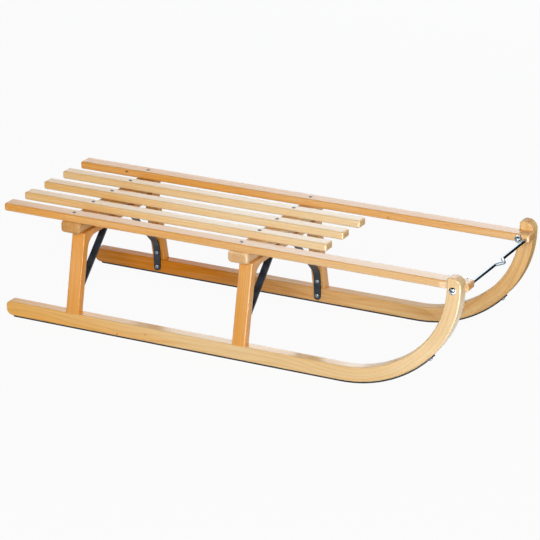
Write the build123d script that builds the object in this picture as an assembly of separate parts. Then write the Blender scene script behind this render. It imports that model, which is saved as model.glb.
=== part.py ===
"""Wooden sled: two bent runners on steel rails, two bent arches, five seat slats and a tow rod.

Millimetres. +X is forward, +Y is the sled's left side, +Z is up. The pieces are laid out from the
point midway between the crossbeams, and the finished sled is moved so that its origin is on the
floor under the middle of its box.
"""
from build123d import *
import os
from math import atan2, cos, degrees, radians, sin, tan

# Seat
seat_height = 229.5
slat_width = 28
side_slat_width = 32
slat_thickness = 16
slat_edge_radius = 4
crossbeam_spacing = 371.4
slat_rear_overhang = 151.8
inner_slat_front_overhang = 151.1
side_slat_front_overhang = 475.5
tip_seat_depth = 2.8
tip_seat_taper = 24

# Crossbeams
crossbeam_past_slats = 1.2
crossbeam_width = 44
crossbeam_thickness = 24
crossbeam_edge_radius = 7

# Runners and rails
track_width = 366
runner_width = 25
runner_height = 29
runner_edge_radius = 3
runner_rear_inset = 9.5
runner_rear_top_radius = 9
runner_rear_bottom_radius = 13
tip_above_seat = 16.5
tip_straight = 18.5
tip_behind_slat_front = 4
tip_front_radius = 18
tip_rear_radius = 7
lower_bend_radius = 255
lower_bend_angle = 50
rail_thickness = 2.5
rail_width = 22
rail_rear_inset = 14
rail_wrap_angle = 46.5
rail_corner_radius = 4
rail_screw_count = 4
rail_screw_from_end = 8
rail_screw_hole = 4.4
rail_screw_head = 8.4

# Arches
arch_width = 29
arch_thickness = 20
arch_forward_shift = 10.7
arch_bar_thickness = 13
arch_inner_radius = 30
arch_edge_radius = 4
leg_splay = 12.4
foot_inset = 0.5
tenon_length = 16
tenon_width = 12
tenon_depth = 14
joint_clearance = 0.1

# Struts
strut_width = 14
strut_thickness = 4
strut_foot_height = 8
strut_bend_height = 72
strut_flange_gap = 38.6
strut_flange_length = 26
strut_leg_radius = 40
strut_bend_radius = 30
strut_flange_radius = 12
strut_end_radius = 6

# Tow rod
rod_diameter = 7
rod_socket_depth = 16
rod_from_slat_front = 8.5
rod_below_seat = 10.5
kink_depth = 11.5
kink_half_width = 19
kink_foot_radius = 11
kink_nose_radius = 5

# Bolts through the runner tips
bolt_from_slat_front = 21
bolt_below_seat = 8.5
bolt_diameter = 8
bolt_head_diameter = 15
bolt_head_height = 4.2
bolt_grip_in_nut = 7
nut_flats = 13
nut_base_height = 6.5
nut_dome_diameter = 12.4
nut_dome_height = 5.5

# Places that follow from the sizes
slat_underside = seat_height - slat_thickness
slat_middle = seat_height - slat_thickness / 2
crossbeam_underside = slat_underside - crossbeam_thickness
arch_bar_underside = crossbeam_underside - arch_bar_thickness
front_beam_x = crossbeam_spacing / 2
rear_beam_x = -crossbeam_spacing / 2
front_leg_x = front_beam_x + arch_forward_shift
rear_leg_x = rear_beam_x + arch_forward_shift
slat_rear_x = rear_beam_x - slat_rear_overhang
inner_slat_front_x = front_beam_x + inner_slat_front_overhang
side_slat_front_x = front_beam_x + side_slat_front_overhang
runner_outer_y = track_width / 2
runner_middle_y = runner_outer_y - runner_width / 2
runner_inner_y = runner_outer_y - runner_width
side_slat_outer_y = runner_inner_y + tip_seat_depth
side_slat_y = side_slat_outer_y - side_slat_width / 2
side_slat_inner_y = side_slat_outer_y - side_slat_width
slat_pitch = side_slat_y / 2
crossbeam_length = 2 * (side_slat_outer_y + crossbeam_past_slats)
runner_rear_x = slat_rear_x + runner_rear_inset
rail_rear_x = runner_rear_x + rail_rear_inset
runner_bottom = rail_thickness
runner_top = runner_bottom + runner_height
tip_top = seat_height + tip_above_seat
tip_front_x = side_slat_front_x - tip_behind_slat_front
tip_rear_x = tip_front_x - runner_height

# The front bend is a wide lower arc that runs into a tighter upper arc
bend_turn = radians(lower_bend_angle)
bend_rise = tip_top - tip_straight - runner_bottom
radius_change = (lower_bend_radius - bend_rise) / cos(bend_turn)
upper_bend_radius = lower_bend_radius - radius_change
bend_start = tip_front_x - upper_bend_radius - radius_change * sin(bend_turn)
lower_center = (bend_start, runner_bottom + lower_bend_radius)
upper_center = (tip_front_x - upper_bend_radius, runner_bottom + bend_rise)

# Tow rod and bolts
rod_radius = rod_diameter / 2
rod_x = side_slat_front_x - rod_from_slat_front
rod_z = seat_height - rod_below_seat
bolt_x = side_slat_front_x - bolt_from_slat_front
bolt_z = seat_height - bolt_below_seat
kink_slope = atan2(kink_depth, kink_half_width)
nose_x = rod_x + kink_depth - kink_nose_radius * (1 / cos(kink_slope) - 1) + rod_radius
middle_x = (slat_rear_x + nose_x) / 2

# The legs lean inwards as they climb from the runners to the arch's bar
lean = tan(radians(leg_splay))
leg_slice = arch_thickness / cos(radians(leg_splay))
foot_outer_y = runner_outer_y - foot_inset
foot_inner_y = foot_outer_y - leg_slice
bar_top = arch_bar_underside + arch_thickness

# Where a block lies from the point that it is placed by
above = (Align.CENTER, Align.CENTER, Align.MIN)
below = (Align.CENTER, Align.CENTER, Align.MAX)


def leg_outer_y(height):
    """Distance of a leg's outer face from the sled's middle at a height."""
    return foot_outer_y - (height - runner_top) * lean


def leg_inner_y(height):
    """Distance of a leg's inner face from the sled's middle at a height."""
    return foot_inner_y - (height - runner_top) * lean


def slat(front_x, y, width):
    """A straight seat slat with all its edges rounded."""
    length = front_x - slat_rear_x
    bar = Box(length, width, slat_thickness)
    bar = fillet(bar.edges(), slat_edge_radius)
    return Pos(slat_rear_x + length / 2, y, slat_middle) * bar


def side_slat(side):
    """A long outer slat, tapered to a flat seat for the runner's tip, with a bolt hole and a rod socket."""
    bar = slat(side_slat_front_x, side * side_slat_y, side_slat_width)
    past_front_x = side_slat_front_x + slat_edge_radius
    taper_start_x = tip_rear_x - tip_seat_taper
    with BuildSketch(Plane.XY.offset(slat_underside)) as planed_off:
        with BuildLine():
            Polyline(
                (past_front_x, side * runner_inner_y),
                (tip_rear_x, side * runner_inner_y),
                (taper_start_x, side * side_slat_outer_y),
                (past_front_x, side * side_slat_outer_y),
                close=True,
            )
        make_face()
    bar -= extrude(planed_off.sketch, slat_thickness)
    bolt_hole = Cylinder(bolt_diameter / 2 + joint_clearance, 2 * side_slat_width)
    bar -= Pos(bolt_x, side * side_slat_y, bolt_z) * Rot(90, 0, 0) * bolt_hole
    rod_socket = Cylinder(rod_radius + joint_clearance, 2 * rod_socket_depth)
    bar -= Pos(rod_x, side * side_slat_inner_y, rod_z) * Rot(90, 0, 0) * rod_socket
    return bar


def crossbeam(x):
    """A straight bar across the sled that carries the slats, with rounded edges and ends."""
    bar = Box(crossbeam_width, crossbeam_length, crossbeam_thickness)
    bar = fillet(bar.edges(), crossbeam_edge_radius)
    return Pos(x, 0, crossbeam_underside + crossbeam_thickness / 2) * bar


def runner(side):
    """A runner bent up at the front to a rounded tip, with mortises for the legs and a bolt hole."""
    with BuildSketch(Plane.XZ) as outline:
        with BuildLine():
            Line((runner_rear_x, runner_bottom), (bend_start, runner_bottom))
            CenterArc(lower_center, lower_bend_radius, -90, lower_bend_angle)
            CenterArc(upper_center, upper_bend_radius, 0, lower_bend_angle - 90)
            Polyline(
                (tip_front_x, upper_center[1]),
                (tip_front_x, tip_top),
                (tip_rear_x, tip_top),
                (tip_rear_x, upper_center[1]),
            )
            CenterArc(upper_center, upper_bend_radius - runner_height, 0, lower_bend_angle - 90)
            CenterArc(lower_center, lower_bend_radius - runner_height, -90, lower_bend_angle)
            Polyline(
                (bend_start, runner_top),
                (runner_rear_x, runner_top),
                (runner_rear_x, runner_bottom),
            )
        make_face()
        fillet(outline.vertices().group_by(Axis.Y)[-1].sort_by(Axis.X)[0], tip_rear_radius)
        fillet(outline.vertices().group_by(Axis.Y)[-1].sort_by(Axis.X)[-1], tip_front_radius)
        fillet(outline.vertices().group_by(Axis.X)[0].sort_by(Axis.Y)[-1], runner_rear_top_radius)
        fillet(outline.vertices().group_by(Axis.X)[0].sort_by(Axis.Y)[0], runner_rear_bottom_radius)
    body = extrude(outline.sketch, runner_width / 2, both=True)
    side_edges = body.edges().group_by(Axis.Y)
    body = fillet(side_edges[0] + side_edges[-1], runner_edge_radius)
    mortise = Box(
        tenon_length + 2 * joint_clearance,
        tenon_width + 2 * joint_clearance,
        2 * (tenon_depth + joint_clearance),
    )
    for leg_x in (rear_leg_x, front_leg_x):
        body -= Pos(leg_x, 0, runner_top) * mortise
    bolt_hole = Cylinder(bolt_diameter / 2 + joint_clearance, 2 * runner_width)
    body -= Pos(bolt_x, 0, bolt_z) * Rot(90, 0, 0) * bolt_hole
    return Pos(0, side * runner_middle_y, 0) * body


def countersunk_hole():
    """A screw hole through a rail, with its countersink at the height of the floor."""
    countersink_depth = (rail_screw_head - rail_screw_hole) / 2
    countersink = Cone(rail_screw_head / 2, rail_screw_hole / 2, countersink_depth, align=above)
    return countersink + Cylinder(rail_screw_hole / 2, 4 * rail_thickness)


def rail(side):
    """A steel strip screwed under a runner, which follows the start of its bend."""
    with BuildSketch(Plane.XZ) as outline:
        with BuildLine():
            inner = CenterArc(lower_center, lower_bend_radius, -90, rail_wrap_angle)
            outer = CenterArc(lower_center, lower_bend_radius + rail_thickness, -90, rail_wrap_angle)
            Line(inner @ 1, outer @ 1)
            Polyline(
                outer @ 0,
                (rail_rear_x, 0),
                (rail_rear_x, rail_thickness),
                inner @ 0,
            )
        make_face()
    strip = extrude(outline.sketch, rail_width / 2, both=True)
    corners = [edge for edge in strip.edges() if abs(edge.length - rail_thickness) < rail_thickness / 10]
    strip = fillet(corners, rail_corner_radius)
    rear_screw_x = rail_rear_x + rail_screw_from_end
    screw_pitch = (bend_start - rear_screw_x) / rail_screw_count
    for number in range(rail_screw_count):
        strip -= Pos(rear_screw_x + number * screw_pitch, 0, 0) * countersunk_hole()
    front_screw_turn = rail_wrap_angle - degrees(rail_screw_from_end / lower_bend_radius)
    to_bend_center = Pos(lower_center[0], 0, lower_center[1])
    strip -= to_bend_center * Rot(0, -front_screw_turn, 0) * Pos(0, 0, -lower_center[1]) * countersunk_hole()
    return Pos(0, side * runner_middle_y, 0) * strip


def arch(x):
    """A bent-wood arch: splayed legs with tenons, rounded shoulders and a bar planed flat on top."""
    outer_corner_y = leg_outer_y(bar_top)
    inner_corner_y = leg_inner_y(arch_bar_underside)
    with BuildSketch(Plane.YZ) as outline:
        with BuildLine():
            Polyline(
                (-foot_outer_y, runner_top),
                (-outer_corner_y, bar_top),
                (outer_corner_y, bar_top),
                (foot_outer_y, runner_top),
                (foot_inner_y, runner_top),
                (inner_corner_y, arch_bar_underside),
                (-inner_corner_y, arch_bar_underside),
                (-foot_inner_y, runner_top),
                close=True,
            )
        make_face()
        inner_corners, outer_corners = outline.vertices().group_by(Axis.Y)[1:]
        fillet(inner_corners, arch_inner_radius)
        fillet(outer_corners, arch_inner_radius + arch_thickness)
    body = extrude(outline.sketch, arch_width / 2, both=True)
    face_edges = body.edges().group_by(Axis.X)
    long_edges = (face_edges[0] + face_edges[-1]).filter_by_position(Axis.Z, runner_top + 1, bar_top + 1)
    body = fillet(long_edges, arch_edge_radius)
    planed_off = Box(2 * arch_width, track_width, arch_thickness, align=above)
    body -= Pos(0, 0, crossbeam_underside) * planed_off
    tenon = Box(tenon_length, tenon_width, tenon_depth, align=below)
    for side in (-1, 1):
        body += Pos(0, side * runner_middle_y, runner_top) * tenon
    return Pos(x, 0, 0) * body


def strut(x, side):
    """A flat-steel strut: up the runner and leg on the inner side, then diagonally to the arch's bar."""
    knee_height = runner_top + (foot_inner_y - runner_inner_y) / lean
    bend_y = leg_inner_y(strut_bend_height)
    largest_bend_radius = 1.5 * (strut_bend_height - knee_height)
    flange_y = strut_flange_gap / 2 + strut_flange_length
    with BuildSketch(Plane.YZ) as outline:
        with BuildLine():
            wood_side = FilletPolyline(
                (runner_inner_y, strut_foot_height),
                (runner_inner_y, knee_height),
                (bend_y, strut_bend_height),
                (flange_y, arch_bar_underside),
                (flange_y - strut_flange_length, arch_bar_underside),
                radius=(strut_leg_radius, min(strut_bend_radius, largest_bend_radius), strut_flange_radius),
            )
            offset(wood_side, strut_thickness, side=Side.LEFT)
        make_face()
    bar = extrude(outline.sketch, strut_width / 2, both=True)
    foot_corners = bar.edges().filter_by(Axis.Y).group_by(Axis.Z)[0]
    flange_corners = bar.edges().filter_by(Axis.Z).group_by(Axis.Y)[0]
    bar = fillet(foot_corners + flange_corners, strut_end_radius)
    if side < 0:
        bar = mirror(bar, Plane.XZ)
    return Pos(x, 0, 0) * bar


def tow_rod():
    """A round rod between the side slats, bent forward to a point in its middle."""
    end_y = side_slat_inner_y + rod_socket_depth - joint_clearance
    path = FilletPolyline(
        (rod_x, -end_y),
        (rod_x, -kink_half_width),
        (rod_x + kink_depth, 0),
        (rod_x, kink_half_width),
        (rod_x, end_y),
        radius=(kink_foot_radius, kink_nose_radius, kink_foot_radius),
    )
    section = Plane(path @ 0, z_dir=path % 0) * Circle(rod_radius)
    return Pos(0, 0, rod_z) * sweep(section, path)


def dome(diameter, height):
    """A flat-bottomed spherical cap standing on the XY plane."""
    ball_radius = (diameter**2 / 4 + height**2) / (2 * height)
    ball = Pos(0, 0, height - ball_radius) * Sphere(ball_radius)
    slab = Box(2 * diameter, 2 * diameter, height, align=above)
    return ball & slab


def tip_bolt(side):
    """A domed bolt through the runner's tip and the side slat."""
    shank_length = runner_outer_y - side_slat_inner_y + bolt_grip_in_nut
    shank = Cylinder(bolt_diameter / 2, shank_length, align=below)
    body = dome(bolt_head_diameter, bolt_head_height) + shank
    return Pos(bolt_x, side * runner_outer_y, bolt_z) * Rot(-90 * side, 0, 0) * body


def cap_nut(side):
    """A domed nut on the inner face of the side slat."""
    body = extrude(RegularPolygon(nut_flats / 2, 6, major_radius=False), nut_base_height)
    body += Pos(0, 0, nut_base_height) * dome(nut_dome_diameter, nut_dome_height)
    bore_depth = bolt_grip_in_nut + joint_clearance
    body -= Cylinder(bolt_diameter / 2 + joint_clearance, 2 * bore_depth)
    return Pos(bolt_x, side * side_slat_inner_y, bolt_z) * Rot(90 * side, 0, 0) * body


sides = {"right": -1, "left": 1}
beams = {"rear": rear_beam_x, "front": front_beam_x}
legs = {"rear": rear_leg_x, "front": front_leg_x}
inner_slats = {"right": -slat_pitch, "centre": 0, "left": slat_pitch}

pieces = {"tow_rod": tow_rod()}
for name, side in sides.items():
    pieces[f"runner_{name}"] = runner(side)
    pieces[f"rail_{name}"] = rail(side)
    pieces[f"side_slat_{name}"] = side_slat(side)
    pieces[f"tip_bolt_{name}"] = tip_bolt(side)
    pieces[f"cap_nut_{name}"] = cap_nut(side)
    for end, x in legs.items():
        pieces[f"strut_{end}_{name}"] = strut(x, side)
for end, x in beams.items():
    pieces[f"crossbeam_{end}"] = crossbeam(x)
for end, x in legs.items():
    pieces[f"arch_{end}"] = arch(x)
for name, y in inner_slats.items():
    pieces[f"inner_slat_{name}"] = slat(inner_slat_front_x, y, slat_width)

os.makedirs("parts", exist_ok=True)
for name, piece in pieces.items():
    export_step(Pos(-middle_x, 0, 0) * piece, f"parts/{name}.step")
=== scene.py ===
"""Looks of the wooden sled: varnished bent beech, black strut iron, dark rails, bright rod and screws."""
from math import cos, pi, radians, sin, tan

import bpy
from mathutils import Matrix, Vector


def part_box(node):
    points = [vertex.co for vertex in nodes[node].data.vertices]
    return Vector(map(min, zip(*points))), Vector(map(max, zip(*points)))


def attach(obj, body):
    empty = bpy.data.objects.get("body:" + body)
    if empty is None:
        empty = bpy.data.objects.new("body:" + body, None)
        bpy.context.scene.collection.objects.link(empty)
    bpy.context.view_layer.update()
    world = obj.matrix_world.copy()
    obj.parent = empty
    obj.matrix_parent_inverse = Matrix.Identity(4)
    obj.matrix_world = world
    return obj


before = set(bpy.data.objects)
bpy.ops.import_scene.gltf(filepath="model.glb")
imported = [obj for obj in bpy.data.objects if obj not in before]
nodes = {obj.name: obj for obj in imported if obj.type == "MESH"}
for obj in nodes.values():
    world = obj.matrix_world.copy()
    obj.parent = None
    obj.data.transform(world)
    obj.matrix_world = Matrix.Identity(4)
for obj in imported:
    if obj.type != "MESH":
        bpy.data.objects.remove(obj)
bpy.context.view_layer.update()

# The photograph's view, from a camera fitted to the slat ends, runners and legs
EYE = Vector((2.2968, -4.3519, 1.9895))
VIEW_AZIMUTH = radians(27.759)
VIEW_ELEVATION = radians(20.812)
VIEW_ROLL = radians(-0.379)
LENS_MM = 179.2
SENSOR_MM = 36.0
VIEW_REACH = 60

# Floor, room and lamps
FLOOR_SIZE = 40.0
FLOOR_PAINT = (0.6, 0.6, 0.6, 1)
FLOOR_SHADOW_SHARE = 0.06
CARD_CLOTH = (0.005, 0.005, 0.006, 1)
WHITE = (1, 1, 1, 1)
ROOM_LIGHT = 0.03
KEY_POWER = 205
FRONT_POWER = 25
FILL_POWER = 20
BACK_POWER = 38
FAR_POWER = 42
NEUTRAL_LIGHT = (1.0, 1.0, 1.0)
COOL_LIGHT = (0.85, 0.92, 1.0)

# The runners' front bend: a wide lower arc that runs into a tighter upper arc
LOWER_BEND_RADIUS = 0.255
LOWER_BEND_ANGLE = radians(50)
TIP_STRAIGHT = 0.0185
RAIL_WRAP_ANGLE = radians(46.5)
RAIL_SCREW_FROM_END = 0.008
RAIL_SCREWS_ON_FLAT = 4

# The arches' rounded shoulders and splayed legs
SHOULDER_INNER_RADIUS = 0.030
ARCH_THICKNESS = 0.020
ARCH_BAR_THICKNESS = 0.013
LEG_SPLAY = radians(12.4)

# Struts
STRUT_THICKNESS = 0.004
STRUT_FLANGE_LENGTH = 0.026
STRUT_FLANGE_GAP = 0.0386
STRUT_LOWER_SCREW_HEIGHT = 0.0172
STRUT_UPPER_SCREW_HEIGHT = 0.0480
STRUT_UPPER_SCREW_TILT = radians(6)

# Screw heads: radius, rim and crown in millimetres, and how they sit
SEAT_SCREW_HEAD = (4.0, 1.0, 1.0)
STRUT_SCREW_HEAD = (4.5, 0.8, 2.2)
RAIL_SCREW_HEAD = (4.1, 0.7, 0.3)
RAIL_END_SCREW_HEAD = (4.1, 1.2, 2.2)
HEAD_SIDES = 28
CROWN_TURNS = (30, 55, 74)
RECESS_LENGTH = 1.15
RECESS_WIDTH = 0.26
RECESS_IN_CROWN = 0.6
RECESS_IN_RIM = 0.3
MILLIMETRE = 0.001
SMOOTH_BELOW = radians(38)
SCREW_TWIST = radians(37)
SCREW_SUNK = 0.0008
RAIL_SCREW_SUNK = 0.0012
SEAT_SCREW_AHEAD_OF_BEAM = 0.0015

# Varnished beech, from its deep to its pale tone, and its late-wood lines
HONEY_TONES = {
    "Deep": (0.760, 0.340, 0.050, 1),
    "Pale": (0.828, 0.570, 0.290, 1),
    "Late Wood": (0.540, 0.185, 0.020, 1),
}
RUNNER_TONES = {
    "Deep": (0.825, 0.400, 0.056, 1),
    "Pale": (0.800, 0.588, 0.302, 1),
    "Late Wood": (0.540, 0.200, 0.022, 1),
}
BEAM_TONES = {
    "Deep": (0.540, 0.250, 0.045, 1),
    "Pale": (0.830, 0.620, 0.360, 1),
    "Late Wood": (0.580, 0.260, 0.070, 1),
}
# The arch's deep tone is darkened a little for painted shade on its rear leg
ARCH_TONES = {
    "Deep": (0.750, 0.310, 0.035, 1),
    "Pale": (0.840, 0.560, 0.270, 1),
    "Late Wood": (0.540, 0.185, 0.020, 1),
}
# Painted shade for the left runner: a deep saturated orange that stands in for the shade under the seat at
# its rear
PAINTED_SHADE_TONES = {
    "Deep": (0.640, 0.215, 0.012, 1),
    "Pale": (0.860, 0.600, 0.280, 1),
    "Late Wood": (0.480, 0.155, 0.008, 1),
}
PALE_TONES = {
    "Deep": (0.790, 0.470, 0.160, 1),
    "Pale": (0.880, 0.690, 0.420, 1),
    "Late Wood": (0.600, 0.300, 0.070, 1),
}

# Patterns, by their waves in a metre along the fibres and across them
BROAD_WAVES = (2.2, 24)
STREAK_WAVES = (5, 230)
FIBRE_WAVES = (70, 3000)
FLECK_WAVES = (380, 3300)
WANDER_WAVES = (2.6, 9)
SCRATCH_WAVES = (30, 2400)
CLOUD_WAVES = (45, 60)
PEEL_WAVES = (900, 900)

# Growth rings round a pith that lies beside and under the plank, in metres
PITH_BESIDE = 0.31
PITH_UNDER = 0.06
RING_SWAY = 0.035
RINGS_IN_A_METRE = 210

# How far patterns, and the painted light along a piece (painted shade at its rear, painted light towards its
# front), move the wood from its deep to its pale tone
BROAD_SHARE = 0.30
STREAK_SHARE = 0.30
PAINTED_LIGHT_SHARE = 0.70
TONE_OFFSET = 0.12

# How far each mark darkens the wood to its late-wood tone
LATE_WOOD_SHARE = 0.26
FLECK_SHARE = 0.34
FIBRE_SHARE = 0.14
END_GRAIN_SHARE = 0.42

# Gloss: roughness of the finishes, and bumps by their strength and height in metres
WOOD_ROUGHNESS = 0.33
WOOD_SHEEN = 0.22
WOOD_BUMP = (0.10, 0.0004)
VARNISH_IOR = 1.4
VARNISH_ROUGHNESS = 0.16
PAINT_ROUGHNESS = 0.30
PAINT_SHEEN = 0.35
PAINT_BUMP = (0.25, 0.0004)
RAIL_ROUGHNESS = 0.30
RAIL_BUMP = (0.12, 0.0002)
ZINC_BUMP = (0.04, 0.0002)

# Paint and metals
# Strut paint from black to grey, both tinted blue as a painted sheen
BLACK_PAINT_PAINTED_SHEEN = (0.009, 0.014, 0.021, 1)
GREY_PAINT_PAINTED_SHEEN = (0.027, 0.040, 0.057, 1)
DARK_RAIL = (0.018, 0.020, 0.024, 1)
RUBBED_RAIL = (0.075, 0.082, 0.092, 1)
BRIGHT_ZINC = (0.34, 0.40, 0.45)
GREY_ZINC = (0.20, 0.23, 0.27)
DULL_ZINC = (0.26, 0.31, 0.35)
ZINC_CLOUD_SHADE = 0.82

runner_low, runner_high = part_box("runner_left")
rail_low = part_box("rail_left")[0]
arch_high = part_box("arch_rear")[1]
seat_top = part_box("inner_slat_centre")[1].z

# The centres of the runner's two arcs
bend_rise = runner_high.z - TIP_STRAIGHT - runner_low.z
radius_change = (LOWER_BEND_RADIUS - bend_rise) / cos(LOWER_BEND_ANGLE)
upper_bend_radius = LOWER_BEND_RADIUS - radius_change
upper_bend_x = runner_high.x - upper_bend_radius
upper_bend_z = runner_low.z + bend_rise
lower_bend_x = upper_bend_x - radius_change * sin(LOWER_BEND_ANGLE)
lower_bend_z = runner_low.z + LOWER_BEND_RADIUS

# The centre of an arch's shoulder
bar_underside = arch_high.z - ARCH_BAR_THICKNESS
shoulder_z = bar_underside - SHOULDER_INNER_RADIUS
foot_inner_y = arch_high.y - ARCH_THICKNESS / cos(LEG_SPLAY)
leaned_y = foot_inner_y - (shoulder_z - runner_low.z) * tan(LEG_SPLAY)
shoulder_y = leaned_y - SHOULDER_INNER_RADIUS / cos(LEG_SPLAY)


def middle(node):
    """The middle of a CAD node's box."""
    low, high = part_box(node)
    return (low + high) / 2


# Camera, floor and light


def add_camera():
    """A camera at the photograph's viewing angle."""
    data = bpy.data.cameras.new("photo_camera")
    data.sensor_width = SENSOR_MM
    data.lens = LENS_MM
    data.clip_end = VIEW_REACH
    camera = bpy.data.objects.new("photo_camera", data)
    bpy.context.scene.collection.objects.link(camera)
    turn = Matrix.Rotation(VIEW_AZIMUTH, 4, "Z")
    tilt = Matrix.Rotation(pi / 2 - VIEW_ELEVATION, 4, "X")
    roll = Matrix.Rotation(VIEW_ROLL, 4, "Z")
    camera.matrix_world = Matrix.Translation(EYE) @ turn @ tilt @ roll
    bpy.context.scene.camera = camera


def calculate(tree, operation, *values):
    """A Math node on sockets or plain numbers; gives its output."""
    node = tree.nodes.new("ShaderNodeMath")
    node.operation = operation
    for socket, value in zip(node.inputs, values):
        if isinstance(value, bpy.types.NodeSocket):
            tree.links.new(value, socket)
        else:
            socket.default_value = value
    return node.outputs[0]


def shown_ray(tree):
    """A value of 1 for rays from the camera and rays that metal or glass sends on."""
    path = tree.nodes.new("ShaderNodeLightPath")
    seen = calculate(tree, "MAXIMUM", path.outputs["Is Camera Ray"], path.outputs["Is Glossy Ray"])
    return calculate(tree, "MAXIMUM", seen, path.outputs["Is Transmission Ray"])


def add_floor():
    """A pale floor that shows white, keeps a faint shadow and is clear from below."""
    bpy.ops.mesh.primitive_plane_add(size=FLOOR_SIZE, location=(0, 0, 0))
    floor = bpy.context.object
    floor.name = "floor"
    material = bpy.data.materials.new("pale_floor")
    material.use_nodes = True
    tree = material.node_tree
    tree.nodes.clear()
    out = tree.nodes.new("ShaderNodeOutputMaterial")
    mix = tree.nodes.new("ShaderNodeMixShader")
    paint = tree.nodes.new("ShaderNodeBsdfDiffuse")
    paint.inputs["Color"].default_value = FLOOR_PAINT
    glow = tree.nodes.new("ShaderNodeEmission")
    share = calculate(tree, "MULTIPLY", shown_ray(tree), 1 - FLOOR_SHADOW_SHARE)
    tree.links.new(share, mix.inputs["Fac"])
    tree.links.new(paint.outputs[0], mix.inputs[1])
    tree.links.new(glow.outputs[0], mix.inputs[2])
    side = tree.nodes.new("ShaderNodeNewGeometry")
    clear = tree.nodes.new("ShaderNodeBsdfTransparent")
    from_below = tree.nodes.new("ShaderNodeMixShader")
    tree.links.new(side.outputs["Backfacing"], from_below.inputs["Fac"])
    tree.links.new(mix.outputs[0], from_below.inputs[1])
    tree.links.new(clear.outputs[0], from_below.inputs[2])
    tree.links.new(from_below.outputs[0], out.inputs["Surface"])
    floor.data.materials.append(material)


def add_world():
    """A white background for what is shown, and a dim even room that lights the sled."""
    world = bpy.data.worlds.new("studio")
    bpy.context.scene.world = world
    world.use_nodes = True
    tree = world.node_tree
    tree.nodes.clear()
    out = tree.nodes.new("ShaderNodeOutputWorld")
    mix = tree.nodes.new("ShaderNodeMixShader")
    room = tree.nodes.new("ShaderNodeBackground")
    room.inputs["Color"].default_value = WHITE
    room.inputs["Strength"].default_value = ROOM_LIGHT
    white = tree.nodes.new("ShaderNodeBackground")
    white.inputs["Color"].default_value = WHITE
    tree.links.new(shown_ray(tree), mix.inputs["Fac"])
    tree.links.new(room.outputs[0], mix.inputs[1])
    tree.links.new(white.outputs[0], mix.inputs[2])
    tree.links.new(mix.outputs[0], out.inputs["Surface"])


def add_softbox(name, azimuth, elevation, distance, size, power, colour=NEUTRAL_LIGHT):
    """An area lamp that points at the sled, its azimuth counted from the near side round to the front."""
    data = bpy.data.lights.new(name, "AREA")
    data.shape = "RECTANGLE"
    data.size, data.size_y = size
    data.energy = power
    data.color = colour
    lamp = bpy.data.objects.new(name, data)
    bpy.context.scene.collection.objects.link(lamp)
    turn = Matrix.Rotation(radians(azimuth), 4, "Z")
    tilt = Matrix.Rotation(pi / 2 - radians(elevation), 4, "X")
    lamp.matrix_world = turn @ tilt @ Matrix.Translation((0, 0, distance))


def add_card(name, centre, size, tilt=(0, 0), glow=0.0):
    """A studio card that only reflections see, black or glowing, turned about X and then about Y."""
    bpy.ops.mesh.primitive_plane_add(size=1)
    card = bpy.context.object
    card.name = name
    turn = Matrix.Rotation(radians(tilt[1]), 4, "Y") @ Matrix.Rotation(radians(tilt[0]), 4, "X")
    card.matrix_world = Matrix.Translation(centre) @ turn @ Matrix.Diagonal((*size, 1, 1))
    material = bpy.data.materials.new(name)
    material.use_nodes = True
    cloth = material.node_tree.nodes["Principled BSDF"]
    cloth.inputs["Base Color"].default_value = CARD_CLOTH
    cloth.inputs["Specular IOR Level"].default_value = 0
    cloth.inputs["Emission Color"].default_value = WHITE
    cloth.inputs["Emission Strength"].default_value = glow
    card.data.materials.append(material)
    card.visible_camera = False
    card.visible_diffuse = False
    card.visible_shadow = False


# Node groups for the finishes


def new_group(name, inputs, outputs):
    """A shader node group with named inputs and outputs; gives its tree, inputs node and outputs node."""
    tree = bpy.data.node_groups.new(name, "ShaderNodeTree")
    for title, kind in inputs:
        tree.interface.new_socket(title, in_out="INPUT", socket_type=kind)
    for title, kind in outputs:
        tree.interface.new_socket(title, in_out="OUTPUT", socket_type=kind)
    given = tree.nodes.new("NodeGroupInput")
    result = tree.nodes.new("NodeGroupOutput")
    return tree, given.outputs, result.inputs


def place_group(tree, group, **values):
    """Puts a node group in a material and feeds its inputs, named with _ for each space."""
    node = tree.nodes.new("ShaderNodeGroup")
    node.node_tree = group
    for title, value in values.items():
        socket = node.inputs[title.replace("_", " ")]
        if isinstance(value, bpy.types.NodeSocket):
            tree.links.new(value, socket)
        else:
            socket.default_value = value
    return node.outputs


def stretch(tree, place, along, across):
    """A place counted in waves along and across the fibres."""
    node = tree.nodes.new("ShaderNodeVectorMath")
    node.operation = "MULTIPLY"
    node.inputs[1].default_value = (along, across, across)
    tree.links.new(place, node.inputs[0])
    return node.outputs[0]


def noise(tree, place, detail, roughness=0.5):
    """Cloudy noise at a place; gives a value from 0 to 1."""
    node = tree.nodes.new("ShaderNodeTexNoise")
    node.inputs["Scale"].default_value = 1
    node.inputs["Detail"].default_value = detail
    node.inputs["Roughness"].default_value = roughness
    tree.links.new(place, node.inputs["Vector"])
    return node.outputs[0]


def ramp(tree, value, low, high, start=0.0, end=1.0):
    """A smooth step from start to end while a value goes from low to high."""
    node = tree.nodes.new("ShaderNodeMapRange")
    node.interpolation_type = "SMOOTHSTEP"
    node.inputs["From Min"].default_value = low
    node.inputs["From Max"].default_value = high
    node.inputs["To Min"].default_value = start
    node.inputs["To Max"].default_value = end
    tree.links.new(value, node.inputs["Value"])
    return node.outputs["Result"]


def mix_colour(tree, share, first, second):
    """A colour between two colours by a share from 0 to 1."""
    node = tree.nodes.new("ShaderNodeMix")
    node.data_type = "RGBA"
    tree.links.new(share, node.inputs["Factor"])
    colour_inputs = [socket for socket in node.inputs if socket.type == "RGBA"]
    for socket, colour in zip(colour_inputs, (first, second)):
        if isinstance(colour, bpy.types.NodeSocket):
            tree.links.new(colour, socket)
        else:
            socket.default_value = colour
    return [socket for socket in node.outputs if socket.type == "RGBA"][0]


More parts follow.
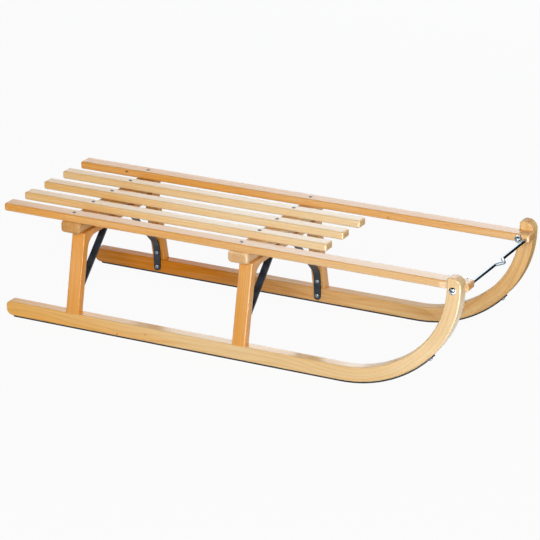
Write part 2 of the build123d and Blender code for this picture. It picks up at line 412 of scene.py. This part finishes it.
def make_bent_grain():
    """Follows the fibres of a piece bent on one arc: the way along, the depth and the end faces."""
    floats = ("Out", "Up", "Normal Out", "Normal Up", "Start", "End", "Radius")
    tree, given, result = new_group(
        "bent grain",
        [(title, "NodeSocketFloat") for title in floats],
        [(title, "NodeSocketFloat") for title in ("Along", "Depth", "End Face")],
    )
    angle = calculate(tree, "ARCTAN2", given["Up"], given["Out"])
    angle = calculate(tree, "MAXIMUM", angle, given["Start"])
    angle = calculate(tree, "MINIMUM", angle, given["End"])
    cosine = calculate(tree, "COSINE", angle)
    sine = calculate(tree, "SINE", angle)
    out_of_arc = calculate(tree, "MULTIPLY", given["Out"], cosine)
    out_of_arc = calculate(tree, "MULTIPLY_ADD", given["Up"], sine, out_of_arc)
    past_arc = calculate(tree, "MULTIPLY", given["Up"], cosine)
    sideways = calculate(tree, "MULTIPLY", given["Out"], sine)
    past_arc = calculate(tree, "SUBTRACT", past_arc, sideways)
    turned = calculate(tree, "SUBTRACT", angle, given["Start"])
    along = calculate(tree, "MULTIPLY_ADD", turned, given["Radius"], past_arc)
    depth = calculate(tree, "SUBTRACT", given["Radius"], out_of_arc)
    facing = calculate(tree, "MULTIPLY", given["Normal Up"], cosine)
    sideways = calculate(tree, "MULTIPLY", given["Normal Out"], sine)
    facing = calculate(tree, "SUBTRACT", facing, sideways)
    tree.links.new(along, result["Along"])
    tree.links.new(depth, result["Depth"])
    tree.links.new(calculate(tree, "ABSOLUTE", facing), result["End Face"])
    return tree


def make_beech_figure():
    """Beech under varnish: broad tones, growth rings, fibres, short flecks and darker end grain."""
    tree, given, result = new_group(
        "beech figure",
        [(title, "NodeSocketFloat") for title in ("Along", "Across", "Depth", "End Face", "Fade")]
        + [(title, "NodeSocketColor") for title in ("Deep", "Pale", "Late Wood")],
        [("Colour", "NodeSocketColor"), ("Roughness", "NodeSocketFloat"), ("Height", "NodeSocketFloat")],
    )
    join = tree.nodes.new("ShaderNodeCombineXYZ")
    for socket, title in zip(join.inputs, ("Along", "Across", "Depth")):
        tree.links.new(given[title], socket)
    place = join.outputs[0]

    broad = ramp(tree, noise(tree, stretch(tree, place, *BROAD_WAVES), 1.5), 0.32, 0.68)
    streak = ramp(tree, noise(tree, stretch(tree, place, *STREAK_WAVES), 3.0, 0.6), 0.28, 0.72)
    fibre = noise(tree, stretch(tree, place, *FIBRE_WAVES), 2.0)
    fleck = ramp(tree, noise(tree, stretch(tree, place, *FLECK_WAVES), 1.0), 0.62, 0.72)

    beside = calculate(tree, "ADD", given["Across"], PITH_BESIDE)
    under = calculate(tree, "ADD", given["Depth"], PITH_UNDER)
    squares = calculate(tree, "MULTIPLY", beside, beside)
    squares = calculate(tree, "MULTIPLY_ADD", under, under, squares)
    from_pith = calculate(tree, "SQRT", squares)
    wander = noise(tree, stretch(tree, place, *WANDER_WAVES), 2.0)
    from_pith = calculate(tree, "MULTIPLY_ADD", wander, RING_SWAY, from_pith)
    rings = calculate(tree, "FRACT", calculate(tree, "MULTIPLY", from_pith, RINGS_IN_A_METRE))
    late_start = ramp(tree, rings, 0.45, 0.92)
    late_end = ramp(tree, rings, 0.94, 1.0, 1.0, 0.0)
    late = calculate(tree, "MULTIPLY", late_start, late_end)
    late = calculate(tree, "MULTIPLY", late, ramp(tree, broad, 0.0, 1.0, 1.0, 0.45))

    tone = calculate(tree, "MULTIPLY", broad, BROAD_SHARE)
    tone = calculate(tree, "MULTIPLY_ADD", streak, STREAK_SHARE, tone)
    tone = calculate(tree, "SUBTRACT", tone, TONE_OFFSET)
    # Painted light along the piece: it darkens the tone at the rear as painted shade and lightens it towards
    # the front
    tone = calculate(tree, "MULTIPLY_ADD", given["Fade"], PAINTED_LIGHT_SHARE, tone)
    tone = calculate(tree, "MAXIMUM", tone, 0.0)
    colour = mix_colour(tree, calculate(tree, "MINIMUM", tone, 1.0), given["Deep"], given["Pale"])
    end_grain = ramp(tree, given["End Face"], 0.75, 0.97)
    for shade in (
        calculate(tree, "MULTIPLY", late, LATE_WOOD_SHARE),
        calculate(tree, "MULTIPLY", fleck, FLECK_SHARE),
        ramp(tree, fibre, 0.35, 0.75, 0.0, FIBRE_SHARE),
        calculate(tree, "MULTIPLY", end_grain, END_GRAIN_SHARE),
    ):
        colour = mix_colour(tree, shade, colour, given["Late Wood"])

    roughness = calculate(tree, "MULTIPLY_ADD", streak, -0.05, WOOD_ROUGHNESS)
    roughness = calculate(tree, "MULTIPLY_ADD", fibre, 0.06, roughness)
    roughness = calculate(tree, "MULTIPLY_ADD", end_grain, 0.18, roughness)
    height = calculate(tree, "MULTIPLY_ADD", late, -0.35, fibre)
    height = calculate(tree, "MULTIPLY_ADD", fleck, -0.5, height)
    tree.links.new(colour, result["Colour"])
    tree.links.new(roughness, result["Roughness"])
    tree.links.new(height, result["Height"])
    return tree


def make_pin_knot():
    """A small dark knot with a soft rim, longer along the fibres than across."""
    tree, given, result = new_group(
        "pin knot",
        [("Place", "NodeSocketVector"), ("Centre", "NodeSocketVector"), ("Size", "NodeSocketVector")],
        [("Knot", "NodeSocketFloat")],
    )
    offset = tree.nodes.new("ShaderNodeVectorMath")
    offset.operation = "SUBTRACT"
    tree.links.new(given["Place"], offset.inputs[0])
    tree.links.new(given["Centre"], offset.inputs[1])
    share = tree.nodes.new("ShaderNodeVectorMath")
    share.operation = "DIVIDE"
    tree.links.new(offset.outputs[0], share.inputs[0])
    tree.links.new(given["Size"], share.inputs[1])
    length = tree.nodes.new("ShaderNodeVectorMath")
    length.operation = "LENGTH"
    tree.links.new(share.outputs[0], length.inputs[0])
    tree.links.new(ramp(tree, length.outputs["Value"], 0.35, 1.0, 1.0, 0.0), result["Knot"])
    return tree


def make_drawn_metal():
    """Fine scratches along a metal strip or rod, with cloudy patches."""
    tree, given, result = new_group(
        "drawn metal",
        [("Place", "NodeSocketVector")],
        [("Scratch", "NodeSocketFloat"), ("Cloud", "NodeSocketFloat")],
    )
    scratch = noise(tree, stretch(tree, given["Place"], *SCRATCH_WAVES), 3.0, 0.6)
    cloud = noise(tree, stretch(tree, given["Place"], *CLOUD_WAVES), 2.0)
    tree.links.new(ramp(tree, scratch, 0.35, 0.70), result["Scratch"])
    tree.links.new(ramp(tree, cloud, 0.30, 0.70), result["Cloud"])
    return tree


bent_grain = make_bent_grain()
beech_figure = make_beech_figure()
pin_knot = make_pin_knot()
drawn_metal = make_drawn_metal()


# Materials


def new_material(name):
    """A material with its Principled shader; gives the material, its tree, the shader and its coordinates."""
    material = bpy.data.materials.new(name)
    material.use_nodes = True
    tree = material.node_tree
    coordinates = tree.nodes.new("ShaderNodeTexCoord")
    return material, tree, tree.nodes["Principled BSDF"], coordinates.outputs


def split(tree, vector):
    """The three parts of a vector."""
    node = tree.nodes.new("ShaderNodeSeparateXYZ")
    tree.links.new(vector, node.inputs[0])
    return node.outputs


def bump(tree, height, strength, distance, shader):
    """Raises a surface by a height pattern."""
    node = tree.nodes.new("ShaderNodeBump")
    node.inputs["Strength"].default_value = strength
    node.inputs["Distance"].default_value = distance
    tree.links.new(height, node.inputs["Height"])
    tree.links.new(node.outputs["Normal"], shader.inputs["Normal"])


def fibres_along_slat(tree, place, normal):
    """A slat's fibres run straight from its rear to its front."""
    return place["X"], place["Y"], place["Z"], calculate(tree, "ABSOLUTE", normal["X"])


def fibres_along_beam(tree, place, normal):
    """A crossbeam's fibres run straight across the sled."""
    return place["Y"], place["X"], place["Z"], calculate(tree, "ABSOLUTE", normal["Y"])


def fibres_along_runner(tree, place, normal):
    """A runner's fibres follow its lower and then its upper arc."""
    arcs = []
    for centre_x, centre_z, start, end, radius in (
        (lower_bend_x, lower_bend_z, -pi / 2, LOWER_BEND_ANGLE - pi / 2, LOWER_BEND_RADIUS),
        (upper_bend_x, upper_bend_z, LOWER_BEND_ANGLE - pi / 2, 0, upper_bend_radius),
    ):
        arcs.append(place_group(
            tree, bent_grain,
            Out=calculate(tree, "SUBTRACT", place["X"], centre_x),
            Up=calculate(tree, "SUBTRACT", place["Z"], centre_z),
            Normal_Out=normal["X"], Normal_Up=normal["Z"], Start=start, End=end, Radius=radius,
        ))
    lower, upper = arcs
    ahead = calculate(tree, "SUBTRACT", place["X"], upper_bend_x)
    ahead = calculate(tree, "MULTIPLY", ahead, cos(LOWER_BEND_ANGLE))
    above = calculate(tree, "SUBTRACT", place["Z"], upper_bend_z)
    past_split = calculate(tree, "MULTIPLY_ADD", above, sin(LOWER_BEND_ANGLE), ahead)
    on_upper = calculate(tree, "GREATER_THAN", past_split, 0)
    upper_along = calculate(tree, "ADD", upper["Along"], LOWER_BEND_RADIUS * LOWER_BEND_ANGLE)
    choices = (
        (lower["Along"], upper_along),
        (lower["Depth"], upper["Depth"]),
        (lower["End Face"], upper["End Face"]),
    )
    ways = []
    for low, high in choices:
        gain = calculate(tree, "SUBTRACT", high, low)
        ways.append(calculate(tree, "MULTIPLY_ADD", gain, on_upper, low))
    return ways[0], place["Y"], ways[1], ways[2]


def fibres_along_arch(tree, place, normal):
    """An arch's fibres climb its legs, bend round the shoulders and run along its bar."""
    side = calculate(tree, "SIGN", place["Y"])
    arc = place_group(
        tree, bent_grain,
        Out=calculate(tree, "SUBTRACT", calculate(tree, "ABSOLUTE", place["Y"]), shoulder_y),
        Up=calculate(tree, "SUBTRACT", place["Z"], shoulder_z),
        Normal_Out=calculate(tree, "MULTIPLY", normal["Y"], side), Normal_Up=normal["Z"],
        Start=LEG_SPLAY, End=pi / 2, Radius=SHOULDER_INNER_RADIUS + ARCH_THICKNESS,
    )
    return arc["Along"], place["X"], arc["Depth"], arc["End Face"]


def make_beech(name, tones, fibres, painted_light_reach, varnish, knots=(), rear_painted_shade=0.0):
    """Varnished beech along a piece's own fibres, in painted shade at the rear that turns to pale painted
    light and more gloss towards the front between the two x given.
    """
    material, tree, shader, coordinates = new_material(name)
    place = split(tree, coordinates["Object"])
    normal = split(tree, coordinates["Normal"])
    along, across, depth, end_face = fibres(tree, place, normal)
    # Painted light along x: painted shade at the rear, deeper still below zero on some pieces, and pale
    # painted light towards the front
    painted_light_level = ramp(tree, place["X"], *painted_light_reach, rear_painted_shade)
    figure = place_group(
        tree, beech_figure, Along=along, Across=across, Depth=depth, End_Face=end_face, Fade=painted_light_level,
        Deep=tones["Deep"], Pale=tones["Pale"], Late_Wood=tones["Late Wood"],
    )
    colour = figure["Colour"]
    for centre, size, shade in knots:
        knot = place_group(tree, pin_knot, Place=coordinates["Object"], Centre=centre, Size=size)
        colour = mix_colour(tree, knot["Knot"], colour, shade)
    tree.links.new(colour, shader.inputs["Base Color"])
    tree.links.new(figure["Roughness"], shader.inputs["Roughness"])
    bump(tree, figure["Height"], *WOOD_BUMP, shader)
    coat = ramp(tree, place["X"], *painted_light_reach, *varnish)
    tree.links.new(coat, shader.inputs["Coat Weight"])
    shader.inputs["Specular IOR Level"].default_value = WOOD_SHEEN * sum(varnish)
    shader.inputs["Coat IOR"].default_value = VARNISH_IOR
    shader.inputs["Coat Roughness"].default_value = VARNISH_ROUGHNESS
    return material


def make_black_paint():
    """Semi-gloss black paint on the strut iron with a bluish painted sheen in its colour, greyer clouds at
    random and a slight orange peel.
    """
    material, tree, shader, coordinates = new_material("black_strut_paint_painted_sheen")
    metal = place_group(tree, drawn_metal, Place=coordinates["Object"])
    # Black to grey clouds at random, both colours bluish as a painted sheen
    colour = mix_colour(tree, metal["Cloud"], BLACK_PAINT_PAINTED_SHEEN, GREY_PAINT_PAINTED_SHEEN)
    tree.links.new(colour, shader.inputs["Base Color"])
    roughness = calculate(tree, "MULTIPLY_ADD", metal["Scratch"], 0.10, PAINT_ROUGHNESS)
    tree.links.new(roughness, shader.inputs["Roughness"])
    skin = noise(tree, stretch(tree, coordinates["Object"], *PEEL_WAVES), 1.0)
    bump(tree, skin, *PAINT_BUMP, shader)
    shader.inputs["Specular IOR Level"].default_value = PAINT_SHEEN
    return material


def make_rail_steel():
    """Dark rolled steel with long rubbed streaks."""
    material, tree, shader, coordinates = new_material("dark_rail_steel")
    metal = place_group(tree, drawn_metal, Place=coordinates["Object"])
    colour = mix_colour(tree, metal["Scratch"], DARK_RAIL, RUBBED_RAIL)
    tree.links.new(colour, shader.inputs["Base Color"])
    roughness = calculate(tree, "MULTIPLY_ADD", metal["Cloud"], 0.16, RAIL_ROUGHNESS)
    tree.links.new(roughness, shader.inputs["Roughness"])
    shader.inputs["Metallic"].default_value = 1
    bump(tree, metal["Scratch"], *RAIL_BUMP, shader)
    return material


def make_zinc_steel(name, roughness, tone):
    """Zinc-plated steel with faint clouds and fine scratches."""
    material, tree, shader, coordinates = new_material(name)
    metal = place_group(tree, drawn_metal, Place=coordinates["Object"])
    dull = tuple(ZINC_CLOUD_SHADE * part for part in tone)
    colour = mix_colour(tree, metal["Cloud"], (*dull, 1), (*tone, 1))
    tree.links.new(colour, shader.inputs["Base Color"])
    scratched = calculate(tree, "MULTIPLY_ADD", metal["Scratch"], 0.06, roughness)
    tree.links.new(scratched, shader.inputs["Roughness"])
    shader.inputs["Metallic"].default_value = 1
    bump(tree, metal["Scratch"], *ZINC_BUMP, shader)
    return material


def dress(name, material):
    """Gives a CAD node its finish."""
    mesh = nodes[name].data
    mesh.materials.clear()
    mesh.materials.append(material)


# Screw heads


def model_screw_head(radius, rim, crown):
    """A round screw head on the XY plane, in millimetres: a rim, a crown in steps and a cross recess."""
    bpy.ops.object.select_all(action="DESELECT")
    bpy.ops.mesh.primitive_cylinder_add(
        vertices=HEAD_SIDES, radius=radius, depth=rim, location=(0, 0, rim / 2),
    )
    bpy.ops.object.transform_apply(location=True)
    head = bpy.context.object
    bpy.ops.object.mode_set(mode="EDIT")
    bpy.ops.mesh.select_mode(type="FACE")
    bpy.ops.mesh.select_all(action="DESELECT")
    bpy.ops.object.mode_set(mode="OBJECT")
    for face in head.data.polygons:
        face.select = face.normal.z > 0.5
    bpy.ops.object.mode_set(mode="EDIT")
    width, height = 1.0, 0.0
    for turn in CROWN_TURNS:
        next_width, next_height = cos(radians(turn)), crown * sin(radians(turn))
        rise = next_height - height
        bpy.ops.mesh.extrude_region_move(TRANSFORM_OT_translate={"value": (0, 0, rise)})
        share = next_width / width
        bpy.ops.transform.resize(value=(share, share, 1), center_override=(0, 0, rim))
        width, height = next_width, next_height
    bpy.ops.object.mode_set(mode="OBJECT")

    top = rim + crown
    deep = 2 * (RECESS_IN_CROWN * crown + RECESS_IN_RIM * rim)
    long, short = RECESS_LENGTH * radius, RECESS_WIDTH * radius
    for across in ((long, short), (short, long)):
        bpy.ops.mesh.primitive_cube_add(size=1, location=(0, 0, top), scale=(*across, deep))
        blade = bpy.context.object
        cut = head.modifiers.new("recess", "BOOLEAN")
        cut.operation = "DIFFERENCE"
        cut.object = blade
        bpy.context.view_layer.objects.active = head
        bpy.ops.object.modifier_apply(modifier=cut.name)
        bpy.data.objects.remove(blade)
    bpy.ops.object.select_all(action="DESELECT")
    head.select_set(True)
    bpy.ops.object.shade_smooth_by_angle(angle=SMOOTH_BELOW)
    head.data.transform(Matrix.Scale(MILLIMETRE, 4))
    return head


def set_screws(name, head, places, material):
    """Copies a screw head to each place, a surface point and its outward direction, as one riding piece."""
    copies = []
    for number, (point, outward) in enumerate(places):
        copy = bpy.data.objects.new(f"{name}_{number}", head.data.copy())
        bpy.context.scene.collection.objects.link(copy)
        turn = outward.to_track_quat("Z", "Y").to_matrix().to_4x4()
        twist = Matrix.Rotation(SCREW_TWIST * number, 4, "Z")
        copy.data.transform(Matrix.Translation(point) @ turn @ twist)
        copies.append(copy)
    bpy.ops.object.select_all(action="DESELECT")
    for copy in copies:
        copy.select_set(True)
    bpy.context.view_layer.objects.active = copies[0]
    bpy.ops.object.join()
    piece = bpy.context.object
    piece.name = name
    piece.data.materials.clear()
    piece.data.materials.append(material)
    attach(piece, "root")
    bpy.data.objects.remove(head)


def seat_screw_places():
    """One screw through each slat into each crossbeam."""
    slats = ("side_slat_right", "inner_slat_right", "inner_slat_centre", "inner_slat_left", "side_slat_left")
    places = []
    for beam in ("crossbeam_rear", "crossbeam_front"):
        x = middle(beam).x + SEAT_SCREW_AHEAD_OF_BEAM
        for slat in slats:
            places.append((Vector((x, middle(slat).y, seat_top - SCREW_SUNK)), Vector((0, 0, 1))))
    return places


def strut_screw_places():
    """Two screws on the foot of each strut and one under its flange."""
    places = []
    strut_inner_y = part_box("runner_left")[0].y - STRUT_THICKNESS
    flange_y = STRUT_FLANGE_GAP / 2 + STRUT_FLANGE_LENGTH / 2
    for end in ("rear", "front"):
        x = middle(f"arch_{end}").x
        for side in (-1, 1):
            towards_middle = Vector((0, -side, 0))
            tilted = Vector((0, -side * cos(STRUT_UPPER_SCREW_TILT), -sin(STRUT_UPPER_SCREW_TILT)))
            lower = Vector((x, side * strut_inner_y, STRUT_LOWER_SCREW_HEIGHT))
            upper = Vector((x, side * strut_inner_y, STRUT_UPPER_SCREW_HEIGHT))
            flange = Vector((x, side * flange_y, bar_underside - STRUT_THICKNESS))
            places += [(lower, towards_middle), (upper, tilted), (flange, Vector((0, 0, -1)))]
    return places


def rail_screw_places():
    """Countersunk screws along the flat of each rail, and a raised one near its front end."""
    flat = []
    front = []
    rear_x = rail_low.x + RAIL_SCREW_FROM_END
    pitch = (lower_bend_x - rear_x) / RAIL_SCREWS_ON_FLAT
    turn = RAIL_WRAP_ANGLE - RAIL_SCREW_FROM_END / LOWER_BEND_RADIUS
    outward = Vector((sin(turn), 0, -cos(turn)))
    for rail in ("rail_right", "rail_left"):
        y = middle(rail).y
        for number in range(RAIL_SCREWS_ON_FLAT):
            flat.append((Vector((rear_x + number * pitch, y, RAIL_SCREW_SUNK)), Vector((0, 0, -1))))
        bend_middle = Vector((lower_bend_x, y, lower_bend_z))
        front.append((bend_middle + outward * (lower_bend_z - SCREW_SUNK), outward))
    return flat, front


# The studio
bpy.ops.object.select_all(action="DESELECT")
add_camera()
add_world()
add_floor()
add_softbox("key", 25, 26, 5.0, (2.8, 2.2), KEY_POWER)
add_softbox("front", 85, 18, 4.0, (1.8, 1.4), FRONT_POWER)
add_softbox("fill", -35, 30, 4.0, (2.4, 2.0), FILL_POWER)
add_softbox("back", 198, 31, 3.5, (2.9, 2.2), BACK_POWER, COOL_LIGHT)
add_softbox("far", 158, 14, 4.5, (2.4, 1.8), FAR_POWER)

# Black flags keep the rod's underside, the bolts and the near faces from mirroring the white room,
# and lights just above the floor draw a thin line along the upright edges of legs, tips and slat ends
add_card("front_flag", (1.25, 0.97, 0.56), (1.9, 1.75), (39, 0))
add_card("rear_flag", (-2.2, -0.6, 0.75), (1.5, 3.6), (0, 90))
add_card("near_flag", (-0.4, -1.7, 0.43), (4.5, 2.7), (-18, 0))
add_card("ceiling_flag", (0.0, -1.2, 3.0), (6.0, 4.6))
add_card("bright_strip", (-0.2, -0.42, 0.004), (1.3, 0.30), glow=2.2)
add_card("end_light", (0.93, -0.33, 0.004), (0.92, 0.23), glow=4.5)
add_card("edge_light", (1.5, -0.875, 0.004), (2.2, 0.85), glow=50.0)
add_card("leg_light", (-0.60, -0.73, 0.14), (0.36, 0.36), (-18, 0), glow=5.5)

# Small knots in the wood: centre, half sizes and colour
slat_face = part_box("side_slat_left")[0].y
runner_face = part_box("runner_right")[0].y
slat_knots = (
    ((-0.3915, slat_face, 0.2245), (0.0045, 0.004, 0.0026), (0.20, 0.045, 0.010, 1)),
    ((0.2003, slat_face, 0.2192), (0.0035, 0.004, 0.0016), (0.36, 0.130, 0.030, 1)),
)
runner_knots = (
    ((-0.2364, runner_face, 0.0070), (0.0035, 0.004, 0.0030), (0.70, 0.230, 0.030, 1)),
    ((-0.1730, runner_face, 0.0170), (0.0040, 0.004, 0.0018), (0.60, 0.230, 0.040, 1)),
)

# The finishes
# Each beech finish below carries painted shade towards its rear and painted light towards its front
right_slat_beech = make_beech(
    "right_slat_beech", HONEY_TONES, fibres_along_slat, (-0.40, 0.60), (0.30, 0.78),
)
# The left slat is the right slat's beech in painted shade: deeper along its length and darkest at its rear
left_slat_painted_shade_beech = make_beech(
    "left_slat_painted_shade_beech", HONEY_TONES, fibres_along_slat, (-0.50, 1.12), (0.30, 0.78), slat_knots, rear_painted_shade=-0.25,
)
inner_slat_beech = make_beech(
    "inner_slat_beech", PALE_TONES, fibres_along_slat, (-0.50, 0.20), (0.30, 0.68),
)
crossbeam_beech = make_beech(
    "crossbeam_beech", BEAM_TONES, fibres_along_beam, (-0.36, 0.06), (0.14, 0.40),
)
right_runner_beech = make_beech(
    "right_runner_beech", RUNNER_TONES, fibres_along_runner, (-0.65, 0.15), (0.05, 1.0), runner_knots,
)
# The left runner is beech in painted shade, darkest at its rear where the seat shades it, and with little
# gloss
left_runner_painted_shade_beech = make_beech(
    "left_runner_painted_shade_beech", PAINTED_SHADE_TONES, fibres_along_runner, (-0.45, 0.32), (0.05, 0.22), rear_painted_shade=-0.25,
)
# The arch in painted shade at the rear, so its rear leg is deeper
arch_painted_shade_beech = make_beech(
    "arch_painted_shade_beech", ARCH_TONES, fibres_along_arch, (-0.36, 0.50), (0.24, 0.68), rear_painted_shade=-0.25,
)
strut_paint_painted_sheen = make_black_paint()
rail_steel = make_rail_steel()
bright_steel = make_zinc_steel("bright_zinc_steel", 0.10, BRIGHT_ZINC)
screw_steel = make_zinc_steel("grey_screw_steel", 0.28, GREY_ZINC)
strut_screw_steel = make_zinc_steel("dull_screw_steel", 0.24, DULL_ZINC)

finishes = {
    "runner_right": right_runner_beech, "runner_left": left_runner_painted_shade_beech,
    "side_slat_right": right_slat_beech, "side_slat_left": left_slat_painted_shade_beech,
    "inner": inner_slat_beech, "crossbeam": crossbeam_beech, "arch": arch_painted_shade_beech,
    "strut": strut_paint_painted_sheen, "rail": rail_steel,
    "tow": bright_steel, "tip": bright_steel, "cap": bright_steel,
}
for name in nodes:
    dress(name, next(finish for start, finish in finishes.items() if name.startswith(start)))

# The screws
flat_places, front_places = rail_screw_places()
for name, head, places, material in (
    ("seat_screws", SEAT_SCREW_HEAD, seat_screw_places(), screw_steel),
    ("strut_screws", STRUT_SCREW_HEAD, strut_screw_places(), strut_screw_steel),
    ("rail_screws", RAIL_SCREW_HEAD, flat_places, screw_steel),
    ("rail_end_screws", RAIL_END_SCREW_HEAD, front_places, bright_steel),
):
    set_screws(name, model_screw_head(*head), places, material)

bpy.context.scene.view_settings.view_transform = "Standard"
